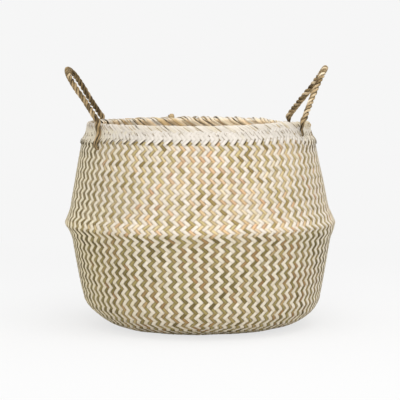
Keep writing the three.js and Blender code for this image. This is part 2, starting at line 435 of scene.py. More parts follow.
def loft(name, pieces, leaf):
    """A mesh of closed tubes. Each is a dict with its rings (sections x corners x 3), how far across
    the leaf each corner lies, and a tone, shade and lit_or_outer_face value for each section or corner."""
    places, faces, ends, across, along = [], [], [], [], []
    looks = {key: [] for key in LOOKS}
    start, lead = 0, 0.0
    for p in pieces:
        count, corners = p["rings"].shape[:2]
        places.append(p["rings"].reshape(-1, 3))
        ring = np.arange(corners)
        section = start + np.arange(count - 1)[:, None] * corners
        near, beside = section + ring, section + (ring + 1) % corners
        faces.append(np.stack([near, beside, beside + corners, near + corners], axis=-1).reshape(-1, 4))
        last = start + (count - 1) * corners
        ends.append([start + k for k in reversed(range(corners))])
        ends.append([last + k for k in range(corners)])
        length = line_lengths(p["rings"].mean(axis=1))
        across.append(np.tile(p["across"], count))
        along.append(np.repeat(lead + length, corners))
        for key in LOOKS:
            value = np.asarray(p[key], float)
            value = value if value.ndim == 2 else np.repeat(value[:, None], corners, axis=1)
            looks[key].append(value.ravel())
        start += count * corners
        lead += length[-1] + LEAF_LEAD
    mesh = bpy.data.meshes.new(name)
    mesh.from_pydata(np.concatenate(places).tolist(), [], np.concatenate(faces).tolist() + ends)
    corner = np.zeros(len(mesh.loops), np.int32)
    mesh.loops.foreach_get("vertex_index", corner)
    uv = mesh.uv_layers.new(name="leaf")
    flat = np.stack([np.concatenate(across)[corner], np.concatenate(along)[corner]], axis=-1)
    uv.data.foreach_set("uv", flat.astype(np.float32).ravel())
    for key, lists in looks.items():
        give_look(mesh, key, np.concatenate(lists))
    mesh.polygons.foreach_set("use_smooth", np.ones(len(mesh.polygons), bool))
    mesh.update()
    mesh.materials.append(leaf)
    made = bpy.data.objects.new(name, mesh)
    bpy.context.scene.collection.objects.link(made)
    return made


STRIP_SECTION = np.array([(-1, 0), (-0.62, 1), (0.62, 1), (1, 0), (0.62, -1), (-0.62, -1)])
TONE_LIMITS = (0.01, 0.99)


def flat_strip(place, out, side, width, thickness, look, section=STRIP_SECTION):
    """A flat strip with rounded edges, as loft takes it. Its look is its tone, its shade and how far it
    takes the second range of tones. On the wall that is the paler, lit range, which is painted light;
    on the rim it is the outer face. Each is one value or one for each section."""
    across, up = section[None, :, 0, None], section[None, :, 1, None]
    half_width = np.broadcast_to(width, len(place))[:, None, None] / 2
    wide = across * half_width * side[:, None, :]
    tone, shade, lit_or_outer_face = look
    return {
        "rings": place[:, None, :] + wide + up * (thickness / 2) * out[:, None, :],
        "across": section[:, 0] / 2 + 0.5,
        "tone": np.broadcast_to(np.clip(tone, *TONE_LIMITS), len(place)),
        "shade": np.broadcast_to(shade, len(place)),
        "lit_or_outer_face": np.broadcast_to(lit_or_outer_face, len(place)),
    }


FIBRE_STRETCH = (9.0, 55.0, 1.0)
FLECK_STRETCH = (2.2, 190.0, 1.0)
FLECK_TINT = (0.50, 0.36, 0.20, 1)
EDGE_SHADE_AND_FIBRE_TINT = (0.42, 0.34, 0.24, 1)
FIBRE_HEIGHT = 0.0004


def noise_along(tree, leaf, stretch, detail, roughness):
    """Noise drawn out along the strip."""
    drawn = node_in(tree, "ShaderNodeMapping", Vector=leaf, Scale=stretch).outputs[0]
    kind = "ShaderNodeTexNoise"
    return node_in(tree, kind, Vector=drawn, Scale=1.0, Detail=detail, Roughness=roughness).outputs["Fac"]


def mix_in(tree, share, first, second, blend="MULTIPLY"):
    """A share of a second colour blended into the first."""
    mix = tree.nodes.new("ShaderNodeMix")
    mix.data_type = "RGBA"
    mix.blend_type = blend
    for name, term in (("Factor", share), ("A", first), ("B", second)):
        feed(tree, mix.inputs[name], term)
    return mix.outputs["Result"]


def leaf_group():
    """The look of dried seagrass leaf: fine fibres along the strip, brown flecks, and edges darkened
    as painted shade where the strips meet.
    """
    group = bpy.data.node_groups.new("seagrass_leaf", "ShaderNodeTree")
    for name, kind, value in (
        ("Colour", "NodeSocketColor", (0.8, 0.7, 0.5, 1)),
        ("Fibre", "NodeSocketFloat", 0.2),
        ("Flecks", "NodeSocketFloat", 0.3),
        ("Edge", "NodeSocketFloat", 0.25),
        ("Relief", "NodeSocketFloat", 0.4),
    ):
        group.interface.new_socket(name, in_out="INPUT", socket_type=kind).default_value = value
    for name, kind in (("Colour", "Color"), ("Roughness", "Float"), ("Normal", "Vector")):
        group.interface.new_socket(name, in_out="OUTPUT", socket_type=f"NodeSocket{kind}")
    given = group.nodes.new("NodeGroupInput").outputs
    put = group.nodes.new("NodeGroupOutput").inputs
    uv = group.nodes.new("ShaderNodeUVMap")
    uv.uv_map = "leaf"
    leaf = uv.outputs[0]
    fibre = noise_along(group, leaf, FIBRE_STRETCH, 3.0, 0.6)
    fleck = range_in(group, noise_along(group, leaf, FLECK_STRETCH, 4.0, 0.65), From_Min=0.56, From_Max=0.72)
    flecks = math_in(group, "MULTIPLY", fleck, given["Flecks"])
    flecked = mix_in(group, flecks, given["Colour"], FLECK_TINT)
    split = node_in(group, "ShaderNodeSeparateXYZ", Vector=leaf).outputs["X"]
    from_middle = math_in(group, "ABSOLUTE", math_in(group, "SUBTRACT", split, 0.5))
    # The strip's edges are darkened: painted shade where the strips meet.
    edge = range_in(group, from_middle, smooth=True, From_Min=0.34, From_Max=0.5)
    edges = math_in(group, "MULTIPLY", edge, given["Edge"])
    fibres = math_in(group, "MULTIPLY", fibre, given["Fibre"])
    colour = mix_in(group, math_in(group, "ADD", edges, fibres), flecked, EDGE_SHADE_AND_FIBRE_TINT)
    rough = range_in(group, fibre, From_Min=0.3, From_Max=0.7, To_Min=0.52, To_Max=0.82)
    bump = node_in(group, "ShaderNodeBump", Distance=FIBRE_HEIGHT, Strength=given["Relief"], Height=fibre)
    for socket, term in zip(put, (colour, rough, bump.outputs[0])):
        group.links.new(term, socket)
    return group


seagrass_leaf = leaf_group()


def attribute_in(tree, name):
    made = tree.nodes.new("ShaderNodeAttribute")
    made.attribute_name = name
    return made.outputs["Fac"]


def srgb(red, green, blue):
    """A colour from screen values of 0 to 255."""
    return tuple(((c / 255 + 0.055) / 1.055) ** 2.4 for c in (red, green, blue))


def ramp_in(tree, factor, stops):
    """A colour ramp over the stops, given as screen values and evenly spaced."""
    made = node_in(tree, "ShaderNodeValToRGB", Fac=factor)
    ramp = made.color_ramp
    while len(ramp.elements) < len(stops):
        ramp.elements.new(0.5)
    for k, stop in enumerate(stops):
        ramp.elements[k].position = k / (len(stops) - 1)
        ramp.elements[k].color = (*srgb(*stop), 1)
    return made.outputs["Color"]


def leaf_material(name, tones, lit_or_outer_tones=None, fibre=0.2, flecks=0.2, edge=0.0, relief=0.3):
    """Seagrass in a range of tones, from which each strip takes its own by its attribute. As far as its
    lit_or_outer_face value goes, it takes it from the second range. On the wall that range is a paler,
    lit copy of the first, which is painted light; on the rim it is the wraps' outer face."""
    made = bpy.data.materials.new(name)
    made.use_nodes = True
    tree = made.node_tree
    surface = tree.nodes["Principled BSDF"]
    tone = attribute_in(tree, "tone")
    colour = ramp_in(tree, tone, tones)
    if lit_or_outer_tones:
        colour = mix_in(tree, attribute_in(tree, "lit_or_outer_face"), colour, ramp_in(tree, tone, lit_or_outer_tones), "MIX")
    shade = attribute_in(tree, "shade")
    shaded = node_in(tree, "ShaderNodeHueSaturation", Color=colour, Value=shade).outputs[0]
    leaf = tree.nodes.new("ShaderNodeGroup")
    leaf.node_tree = seagrass_leaf
    for socket, term in zip(leaf.inputs, (shaded, fibre, flecks, edge, relief)):
        feed(tree, socket, term)
    for ours, theirs in (("Colour", "Base Color"), ("Roughness", "Roughness"), ("Normal", "Normal")):
        tree.links.new(leaf.outputs[ours], surface.inputs[theirs])
    surface.inputs["Specular IOR Level"].default_value = 0.3
    return made


# Each wall leaf has tones for below the fold and a paler, lit copy for above it: painted light.
natural_leaf = leaf_material(
    "natural_leaf",
    [(108, 94, 54), (130, 116, 69), (152, 139, 89), (157, 138, 92), (151, 121, 79), (173, 159, 116)],
    [(147, 127, 78), (173, 156, 106), (197, 180, 138), (204, 183, 142), (202, 166, 129), (221, 207, 176)],
    fibre=0.26,
    flecks=0.30,
    edge=0.46,
    relief=0.5,
)
bleached_leaf = leaf_material(
    "bleached_leaf",
    [(214, 202, 169), (208, 197, 175), (218, 208, 189), (227, 218, 201)],
    [(224, 213, 182), (212, 202, 185), (219, 209, 194), (224, 215, 203)],
    fibre=0.12,
    flecks=0.06,
    edge=0.10,
    relief=0.4,
)

# Widths are shares of the room for a strip. Tones run from 0 to 1 and shades lie around 1. A wander
# is the size and the wave of slow noise.
PITCH_LIMITS = (0.6, 1.08)
NATURAL_WIDTH = 0.86
NATURAL_WIDTHS = (0.90, 1.08)
NATURAL_WIDTH_WANDER = (0.07, 0.11)
BLEACHED_WIDTH = 1.03
BLEACHED_WIDTH_WANDER = (0.03, 0.11)
MOST_FLOATS = 400
NATURAL_TONES = (0.12, 0.88)
NATURAL_TONE_WANDER = (0.16, 0.26)
NATURAL_FLOAT_TONES = 0.10
NATURAL_FLOAT_SHADES = 0.09
BLEACHED_TONE = 0.67
BLEACHED_FLOAT_TONES = 0.15
BLEACHED_FLOAT_SHADES = 0.015
PAINTED_LIGHT_FOLD_BAND = (-0.0045, -0.0005)
FOLD_HIGHLIGHT_RISE = 0.008
FOLD_HIGHLIGHT_REACH = 0.010
NATURAL_FOLD_PAINTED_HIGHLIGHT = 0.13
BLEACHED_FOLD_PAINTED_HIGHLIGHT = 0.05
LEFT_SPAN = (0.06, 0.19)
LEFT_DARKER = 0.29
LEFT_DARKER_RISE = 0.01
LEFT_DULLER = 0.25
LEFT_PAINTED_LIGHT_ABOVE = 0.06
LEFT_PAINTED_LIGHT_BELOW = 0.11
LEFT_PAINTED_WARM_LIGHT = 0.85
SIDES_SPAN = (0.13, 0.18)
SIDES_DARKER = 0.20
SIDES_DULLER = 0.30
UNDER_BORDER_PAINTED_SHADE = 0.34
UNDER_BORDER_RISE = 0.012
UNDER_BORDER_REACH = 0.010
rng = np.random.default_rng(7)


def dress(centre, out, across, floats, rise, natural):
    """One strip from its line, with its width and its look. Widths and tones wander slowly along the
    leaf, and each float that shows has its own slight tone. Above the fold the strips take a paler, lit
    range of tones with a painted highlight along the fold, all painted light. On the left the bleached
    strips are painted lighter and warmer. The natural strips are darker and duller at the basket's
    sides. They are duller on the left and darker there above the fold. Under the border at the sides
    they carry painted shade."""
    side = side_of(centre, out)
    pitch = np.abs(np.einsum("ij,ij->i", across, side))
    pitch = np.clip(pitch, PITCH_LIMITS[0] * STRIP_PITCH, PITCH_LIMITS[1] * STRIP_PITCH)
    length, height = line_lengths(centre), centre[:, 2]
    # Above the fold the strips take the paler, lit range of tones: painted light.
    lit_or_outer_face = smoothstep(height, belly.z + PAINTED_LIGHT_FOLD_BAND[0], belly.z + PAINTED_LIGHT_FOLD_BAND[1])
    # A painted highlight along the fold, just above it.
    painted_highlight_on_fold = hump(height, belly.z + FOLD_HIGHLIGHT_RISE, FOLD_HIGHLIGHT_REACH)
    leftwards = smoothstep(-centre[:, 0], *LEFT_SPAN)
    if natural:
        width = NATURAL_WIDTH * rng.uniform(*NATURAL_WIDTHS) + slow_noise(length, *NATURAL_WIDTH_WANDER, rng)
        tone = rng.uniform(*NATURAL_TONES) + slow_noise(length, *NATURAL_TONE_WANDER, rng)
        tone = tone + rng.normal(0, NATURAL_FLOAT_TONES, MOST_FLOATS)[floats]
        shade = 1.0 + rng.normal(0, NATURAL_FLOAT_SHADES, MOST_FLOATS)[floats]
        shade = shade + NATURAL_FOLD_PAINTED_HIGHLIGHT * painted_highlight_on_fold
        above = smoothstep(height, belly.z, belly.z + LEFT_DARKER_RISE)
        sideways = smoothstep(np.abs(centre[:, 0]), *SIDES_SPAN)
        # Painted shade on the natural strips just under the border, at the basket's sides.
        painted_shade_under_border = hump(height, border_low.z + UNDER_BORDER_RISE, UNDER_BORDER_REACH)
        tone = tone * (1 - SIDES_DULLER * sideways) * (1 - LEFT_DULLER * leftwards)
        shade = shade * (1 - LEFT_DARKER * leftwards * above)
        shade = shade * (1 - sideways * (SIDES_DARKER + UNDER_BORDER_PAINTED_SHADE * painted_shade_under_border))
    else:
        width = BLEACHED_WIDTH + slow_noise(length, *BLEACHED_WIDTH_WANDER, rng)
        tone = BLEACHED_TONE + rng.normal(0, BLEACHED_FLOAT_TONES, MOST_FLOATS)[floats]
        shade = 1.0 + rng.normal(0, BLEACHED_FLOAT_SHADES, MOST_FLOATS)[floats]
        shade = shade + BLEACHED_FOLD_PAINTED_HIGHLIGHT * painted_highlight_on_fold
        # On the left the bleached strips are painted lighter and warmer, standing in for the light there.
        lighter = LEFT_PAINTED_LIGHT_BELOW + (LEFT_PAINTED_LIGHT_ABOVE - LEFT_PAINTED_LIGHT_BELOW) * lit_or_outer_face
        tone = tone * (1 - LEFT_PAINTED_WARM_LIGHT * leftwards)
        shade = shade * (1 + lighter * leftwards)
    place = centre + out * rise[:, None]
    return flat_strip(place, out, side, width * pitch, STRIP_THICKNESS, (tone, shade, lit_or_outer_face))


ENDS_BELOW_RIM = 0.006
BORDER_INSET = 0.0016
BORDER_INSET_BAND = (-0.004, 0.018)

last_row = int(np.interp(profile_along[-1] - ENDS_BELOW_RIM, rows, np.arange(len(rows))))
plaited = {}
for quarter in range(4):
    way = "along" if quarter % 2 == 0 else "across"
    for index in range(QUARTER):
        finish = "natural" if index % 2 == 0 else "bleached"
        centre, out, across, floats, rise = strip_line(quarter, index, last_row)
        at_border = (border_low.z + edge for edge in BORDER_INSET_BAND)
        inset = BORDER_INSET * smoothstep(centre[:, 2], *at_border)
        strip = dress(centre - out * inset[:, None], out, across, floats, rise, finish == "natural")
        plaited.setdefault(f"{finish}_strips_{way}", []).append(strip)

for name, strips in plaited.items():
    natural = name.startswith("natural")
    piece = loft(name, strips, natural_leaf if natural else bleached_leaf)
    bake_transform(piece)
    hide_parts("base_mat", "heel", "lower_wall", "upper_wall")

# The border
# Below the rim the strip ends turn back down over the wall and are plaited once more, so the border
# is double, flat and pale. Its lowest slanted rows half cover the last natural strips. Dark brown
# slivers in its gaps stand for the natural strips seen there and paint their shade. Fine dark lines
# paint the shade between its falling strips.
BORDER_ROW = 112
BORDER_TOP_ROW = 117
BORDER_LIFT = -0.0008
BORDER_RISE = 0.00006
BORDER_STRIP_THICKNESS = 0.0007
BORDER_FALLING_WIDTH = 0.97
BORDER_FALLING_START = 1.5
BORDER_FEET = (-0.25, 0.2)
BORDER_TONE = (0.67, 0.17)
BORDER_SHADES = 0.010
OVER_NATURAL = {"first": 0.8, "shift": 0.12, "width": 0.82}
OVER_BLEACHED = {"first": -0.45, "shift": 0.05, "width": 0.97}
END_CLEAR = 0.1
FLAT_SECTION = np.array([(-1, 0), (-0.88, 1), (0.88, 1), (1, 0), (0.88, -1), (-0.88, -1)])
TUCK = -0.0026
SLIVER_LIFT = -0.00025
SLIVER_THICKNESS = 0.0004

# What changes towards the basket's sides, and from where to where, as the foot's share of the way
SIDES_LOWER = 1.3
SIDES_LOWER_BAND = (0.72, 0.95)
LEFT_PAINTED_WARM_BAND = (0.3, 0.9)
RIGHT_WARMER = 0.75
RIGHT_END_BAND = (0.75, 0.95)
ENDS_PAINTED_LIGHT = 0.10


def foot_side(number, rising):
    """How far to the right a border strip's foot lies, from -1 to 1."""
    return cos(pi / STRIPS_ROUND * (2 * number + (BORDER_ROW if rising else -BORDER_ROW)))


def border_foot(number, rising):
    """The row that a border strip starts from, which is a little lower at the basket's sides."""
    return BORDER_ROW - SIDES_LOWER * smoothstep(abs(foot_side(number, rising)), *SIDES_LOWER_BAND)


def border_look(number, rising):
    """A border strip's tone and shade. They are warmer at the basket's sides, where on the left the
    warmth is painted light, and they are painted lighter at both ends.
    """
    aside = foot_side(number, rising)
    warmth = LEFT_PAINTED_WARM_LIGHT * smoothstep(-aside, *LEFT_PAINTED_WARM_BAND)
    warmth = warmth + RIGHT_WARMER * smoothstep(aside, *RIGHT_END_BAND)
    tone = rng.normal(*BORDER_TONE) * (1 - warmth)
    shade = 1 + rng.normal(0, BORDER_SHADES)
    return tone, shade * (1 + ENDS_PAINTED_LIGHT * smoothstep(abs(aside), *RIGHT_END_BAND))


def plaited_lift(row, rising):
    """Over two and under two, with the lower end tucked into the wall."""
    phase = (np.round(row) + (0 if rising else 2)) % 4
    lifts = BORDER_LIFT + np.where(phase < 2, BORDER_RISE, -BORDER_RISE)
    lifts[0] = TUCK
    return lifts


def border_strip(number, rising, ends, shift, widths, look, slant=None):
    """One strip of the border, rising to the right or to the left from one row to another. Its widths
    at both ends are shares of a strip's, and its look is its tone and shade. It is plaited, or with a
    slant given, as a share of the plaiting's, it is a dark sliver just under the border's face that
    paints the shade in a gap."""
    first, last = ends
    plaited = slant is None
    slant = 1.0 if plaited else slant
    row = sections_at(np.arange(np.ceil(first), np.floor(last) + 1))
    row = np.concatenate([[first], row[(row > first + END_CLEAR) & (row < last - END_CLEAR)], [last]])
    leans = 1 if rising else -1
    turn = pi / STRIPS_ROUND * (2 * (number + shift) + leans * (first + (row - first) * slant))
    along = np.interp(row, np.arange(len(rows)), rows)
    lift = plaited_lift(row, rising) if plaited else np.full(len(row), SLIVER_LIFT)
    thickness = BORDER_STRIP_THICKNESS if plaited else SLIVER_THICKNESS
    place = shell_point(along, turn, lift)
    out = unit(shell_point(along, turn, 0.0) - shell_point(along, turn, -WEAVE_HALF))
    side = side_of(place, out)
    wide = np.linspace(*widths, len(row)) * STRIP_PITCH
    return flat_strip(place, out, side, wide, thickness, (*look, 1.0), FLAT_SECTION)


# The dark slivers over each natural strip, which show its brown and paint the shade in the border's
# gaps: whether it rises to the right, its first and last row above the border's foot, its widths at
# both ends, its shift, how often there is one, and its range of shades
SHADE_SLIVERS = [
    (True, -0.3, 1.6, (0.26, 0.16), -0.40, 1.0, (0.55, 1.1)),
    (True, -0.3, 1.0, (0.40, 0.26), -0.34, 0.75, (0.5, 1.0)),
    (False, 3.0, 3.45, (0.24, 0.14), -0.10, 0.75, (0.8, 1.7)),
    (False, 1.5, 1.85, (0.16, 0.12), -0.60, 0.45, (1.3, 2.1)),
    (True, 3.6, 4.1, (0.10, 0.08), 0.10, 0.35, (1.6, 2.2)),
]
SLIVER_WANDER = (-0.15, 0.15)
SLIVER_TONES = (0.1, 0.9)
SLIVER_PAINTED_SHADE_PALER = 0.6
RIGHT_BAND = (0.3, 0.8)
RIGHT_BAND_END = (0.84, 0.94)
LEFT_BAND = (0.45, 0.78)
LEFT_BAND_END = (0.84, 0.95)
FAR_RIGHT_BAND = (0.86, 0.96)
LEFT_STEEPER = 0.5
LEFT_WIDER = 0.6
LEFT_END_NARROWER = 0.35
RIGHT_FLATTER = 0.55
RIGHT_SHORTER = 0.9
FAR_RIGHT_WIDER = 1.2
FOOT_ROWS = 2

# Fine dark lines between the falling strips, painted shade in the gaps: their first row, how often
# there is one on the left, and how much more often on the right
FINE_LINES = [(1.6, 0.20, 0.35), (3.2, 0.25, 0.45)]
FINE_LINE_BAND = (-0.2, 0.6)
FINE_LINE_FEET = (-0.2, 0.2)
FINE_LINE_SHIFT = 0.5
FINE_LINE_WIDTHS = (0.07, 0.04)
FINE_LINE_LENGTHS = (0.7, 1.8)
FINE_LINE_SHADES = (1.3, 2.2)

border, shade_slivers = [], []
for number in range(STRIPS_ROUND):
    over = OVER_NATURAL if number % 2 == 0 else OVER_BLEACHED
    first = border_foot(number, True) + over["first"] + rng.uniform(*BORDER_FEET)
    falling_first = border_foot(number, False) + BORDER_FALLING_START
    for rising, begin, shift, width in (
        (True, first, over["shift"], over["width"]),
        (False, falling_first, 0, BORDER_FALLING_WIDTH),
    ):
        look = border_look(number, rising)
        ends = begin, BORDER_TOP_ROW
        border.append(border_strip(number, rising, ends, shift, (width, width), look))
    if number % 2 == 1:
        continue
    for rising, begin, end, widths, shift, often, shades in SHADE_SLIVERS:
        wander = rng.uniform(*SLIVER_WANDER, 2)
        aside = foot_side(number, rising)
        rightwards = smoothstep(aside, *RIGHT_BAND)
        # A sliver's painted shade is paler towards the right.
        look = rng.uniform(*SLIVER_TONES), rng.uniform(*shades) * (1 + SLIVER_PAINTED_SHADE_PALER * rightwards)
        if rng.uniform() > often:
            continue
        rightwards = rightwards * (1 - smoothstep(aside, *RIGHT_BAND_END))
        leftwards = smoothstep(-aside, *LEFT_BAND)
        far_left = smoothstep(-aside, *LEFT_BAND_END)
        far_right = smoothstep(aside, *FAR_RIGHT_BAND)
        foot = border_foot(number, rising)
        first, last = foot + begin + wander[0], foot + end + 2 * wander[1]
        if end < FOOT_ROWS:
            last -= RIGHT_SHORTER * rightwards
        wider = LEFT_WIDER * leftwards * (1 - far_left) - LEFT_END_NARROWER * far_left
        widths = tuple(width * (1 + wider + FAR_RIGHT_WIDER * far_right) for width in widths)
        slant = 1 - LEFT_STEEPER * leftwards + RIGHT_FLATTER * rightwards
        shade_slivers.append(border_strip(number, rising, (first, last), shift, widths, look, slant))
line_rng = np.random.default_rng(11)
for number in range(STRIPS_ROUND):
    rightwards = smoothstep(foot_side(number, False), *FINE_LINE_BAND)
    for begin, often, more_often in FINE_LINES:
        first = border_foot(number, False) + begin + line_rng.uniform(*FINE_LINE_FEET)
        ends = first, first + line_rng.uniform(*FINE_LINE_LENGTHS)
        look = line_rng.uniform(*SLIVER_TONES), line_rng.uniform(*FINE_LINE_SHADES)
        if line_rng.uniform() < often + more_often * rightwards:
            shade_slivers.append(border_strip(number, False, ends, FINE_LINE_SHIFT, FINE_LINE_WIDTHS, look, 1.0))

border_leaf = leaf_material(
    "border_leaf",
    [(219, 209, 184), (205, 198, 187), (212, 205, 195), (217, 210, 201)],
    fibre=0.10,
    flecks=0.05,
    edge=0.14,
)
# Dark brown for the slivers and fine lines, which paint the shade in the border's gaps
sliver_shade_leaf = leaf_material("sliver_shade_leaf", [(82, 66, 40), (110, 94, 58), (104, 86, 60)])
border_strips = loft("border_strips", border, border_leaf)
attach(border_strips, "collar")
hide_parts("border_band")
border_shade_slivers = loft("border_shade_slivers", shade_slivers, sliver_shade_leaf)
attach(border_shade_slivers, "collar")

# The rim
# The ends of the other strips are wrapped over a core of grass at the rim, side by side on the
# slant. Outside they are pale, and inside the basket their tan backs show.
RIM_DROP = 0.0009
RIM_WRAP_THICKNESS = 0.001
RIM_CORE_SECTIONS = 160
RIM_CORE_CORNERS = 16
# The core is darkened: painted shade in the gaps between the wraps.
RIM_CORE_LOOK = {"tone": 0.1, "shade": 0.7, "lit_or_outer_face": 0.0}

rim_middle = rim_high.z - RIM_DROP - RIM_TUBE
bpy.ops.mesh.primitive_torus_add(
    location=(LEAN_ABOVE, 0, rim_middle),
    major_radius=rim_ring,
    minor_radius=RIM_TUBE - RIM_WRAP_THICKNESS,
    major_segments=RIM_CORE_SECTIONS,
    minor_segments=RIM_CORE_CORNERS,
)
rim_core = bpy.context.object
rim_core.name = "rim_core"
bpy.ops.object.transform_apply(location=True)
rim_core.data.uv_layers[0].name = "leaf"
for corner in rim_core.data.vertices:
    corner.co.z += rim_wave(atan2(corner.co.y, corner.co.x))
for key, value in RIM_CORE_LOOK.items():
    give_look(rim_core.data, key, np.full(len(rim_core.data.vertices), value))
rim_core.data.materials.append(natural_leaf)
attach(rim_core, "collar")

RIM_FOOT_OUTSIDE = 0.3045
RIM_FOOT_INSIDE = 0.3005
FOOT_SUNK_OUTSIDE = 0.0014
FOOT_SUNK_INSIDE = 0.0052
RIM_LIFT = 0.0002
ARC_STEPS = 13
LEG_STEPS = 5


def rim_line_points():
    """Radius, height and outward normal round the rim, from its outer foot over the top to the inner."""
    angle = np.linspace(0, pi, ARC_STEPS)
    tube = RIM_TUBE + RIM_LIFT
    arc = np.stack([rim_ring + tube * np.cos(angle), rim_middle + tube * np.sin(angle)], axis=1)
    outer = np.array([wall_radius(RIM_FOOT_OUTSIDE) - FOOT_SUNK_OUTSIDE, RIM_FOOT_OUTSIDE])
    inner = np.array([wall_radius(RIM_FOOT_INSIDE) - FOOT_SUNK_INSIDE, RIM_FOOT_INSIDE])
    leg = np.linspace(0, 1, LEG_STEPS)[:-1, None]
    legs = outer + (arc[0] - outer) * leg, inner + (arc[-1] - inner) * leg
    return with_normals(*np.concatenate([legs[0], arc, legs[1][::-1]]).T)


def around_axis(turn):
    """Unit vectors outwards from the basket's axis at the angles."""
    turn = np.atleast_1d(turn)
    return np.stack([np.cos(turn), np.sin(turn), np.zeros_like(turn)], axis=-1)


UP = np.array([0.0, 0.0, 1.0])
ASIDE = np.array([LEAN_ABOVE, 0.0, 0.0])
TAN_BACK_BAND = (0.50, 0.62)
rim_radius, rim_height, rim_out_r, rim_out_z = rim_line_points()
rim_length = np.concatenate([[0], np.cumsum(np.hypot(np.diff(rim_radius), np.diff(rim_height)))])
rim_share = rim_length / rim_length[-1]


def rim_strip(begin, slant, lift, width, tilt, look, reach=(0.0, 1.0), thickness=RIM_WRAP_THICKNESS):
    """One strip over the rim on the slant, from its share of the way over where the reach begins to
    the share where it ends. Its look is its tone and shade. Inside the basket its back shows."""
    share = np.linspace(*reach, max(4, round(len(rim_share) * (reach[1] - reach[0]))))
    radius, height, out_r, out_z, length = (
        np.interp(share, rim_share, line)[:, None]
        for line in (rim_radius, rim_height, rim_out_r, rim_out_z, rim_length)
    )
    radial = around_axis(begin - slant * length[:, 0] / rim_ring)
    out = out_r * radial + out_z * UP
    height = height + rim_wave(begin)
    place = radius * radial + height * UP + lift * out + ASIDE
    side = side_of(place, out)
    lean_out = out * cos(tilt) + side * sin(tilt)
    lean_side = side * cos(tilt) - out * sin(tilt)
    look = (*look, 1 - smoothstep(share, *TAN_BACK_BAND))
    return flat_strip(place, lean_out, lean_side, width, thickness, look)


RIM_SLANT = 1.5
RIM_SLANTS = (0.92, 1.08)
RIM_STARTS = (-0.14, 0.14)
RIM_LIFTS = (-0.0004, 0.0008)
RIM_BUMPS = 2.0
RIM_WRAP_WIDTH = 0.0050
RIM_WRAP_WIDTHS = (0.78, 1.08)
RIM_TILT = radians(11)
RIM_TONE = 0.56
RIM_TONES = 0.13
RIM_SHADES = 0.03
BACK_LEFT = 135
BACK_LEFT_REACH = 40
BACK_LEFT_TONES = 0.18
RIM_BACK_PAINTED_LIGHT = 0.12
RIM_RIGHT_BAND = (0.80, 0.95)

# Seams between the wraps, dark olive and golden lines that also paint the shade in the gaps: the
# reach that they lie in, how often there is one, and how strong it is
SEAM_SHADE_LINES = [((0.02, 0.38), 0.62, 1.0), ((0.44, 0.66), 0.45, 1.5)]
SEAM_SHORTER = 0.12
SEAM_PLACES = (0.85, 1.15)
SEAM_LIFT = 0.0007
SEAM_THICKNESS = 0.0006
SEAM_WIDTHS = (0.0006, 0.0011)
SEAM_SHADES = (0.7, 1.6)

wraps, seam_shades = [], []
for number in range(STRIPS_ROUND):
    slant = RIM_SLANT * rng.uniform(*RIM_SLANTS)
    lift = rng.uniform(*RIM_LIFTS)
    begin = 2 * pi * (number + rng.uniform(*RIM_STARTS)) / STRIPS_ROUND
    backwards = max(0, sin(begin))
    warmth = RIGHT_WARMER * smoothstep(cos(begin), *RIM_RIGHT_BAND)
    tones = RIM_TONES + BACK_LEFT_TONES * hump(degrees(begin), BACK_LEFT, BACK_LEFT_REACH)
    tone = rng.normal(RIM_TONE, tones) * (1 - warmth)
    # The back of the rim, in shade inside the basket, is painted lighter.
    shade = rng.normal(1.0, RIM_SHADES) * (1 + RIM_BACK_PAINTED_LIGHT * backwards)
    lift *= 1 + RIM_BUMPS * backwards
    width = RIM_WRAP_WIDTH * rng.uniform(*RIM_WRAP_WIDTHS)
    wraps.append(rim_strip(begin, slant, lift, width, RIM_TILT, (tone, shade)))
    for reach, often, strength in SEAM_SHADE_LINES:
        ends = reach[0] + rng.uniform(0, SEAM_SHORTER), reach[1] - rng.uniform(0, SEAM_SHORTER)
        beside = begin + pi * rng.uniform(*SEAM_PLACES) / STRIPS_ROUND
        look = rng.uniform(*SLIVER_TONES), rng.uniform(*SEAM_SHADES) * strength
        if rng.uniform() < often:
            width = rng.uniform(*SEAM_WIDTHS) * strength
            seam_shades.append(rim_strip(beside, slant, SEAM_LIFT, width, 0.0, look, ends, SEAM_THICKNESS))

# Some strip ends curl up out of the rim: azimuth, how far out of the ring's middle and how high
# over it the curl lies, its size and width, and its tone.
CURLED_ENDS = [
    (105.5, -0.001, 0.0057, 0.0033, 0.0092, 0.05),
    (105.2, -0.001, 0.0080, 0.0022, 0.0058, 0.05),
    (99.0, 0.000, 0.0032, 0.0014, 0.0080, 0.20),
    (95.0, -0.001, 0.0031, 0.0016, 0.0090, 0.10),
    (86.5, 0.000, 0.0030, 0.0016, 0.0110, 0.10),
    (121.0, 0.000, 0.0030, 0.0015, 0.0090, 0.20),
    (115.0, 0.000, 0.0030, 0.0015, 0.0100, 0.50),
    (126.0, 0.000, 0.0029, 0.0015, 0.0100, 0.05),
    (133.0, 0.000, 0.0029, 0.0015, 0.0110, 0.10),
    (72.0, 0.000, 0.0030, 0.0016, 0.0120, 0.15),
    (66.5, 0.000, 0.0029, 0.0014, 0.0090, 0.10),
    (60.5, 0.000, 0.0029, 0.0014, 0.0100, 0.05),
    (-14.0, 0.0054, 0.0003, 0.0030, 0.0045, 0.01),
]
CURL_SHADE = 0.66
CURL_THICKNESS = 0.0009
CURL_STEPS = 16
CURL_FROM = radians(-70)
CURL_TO = radians(230)
CURL_TIGHTENS = 0.75

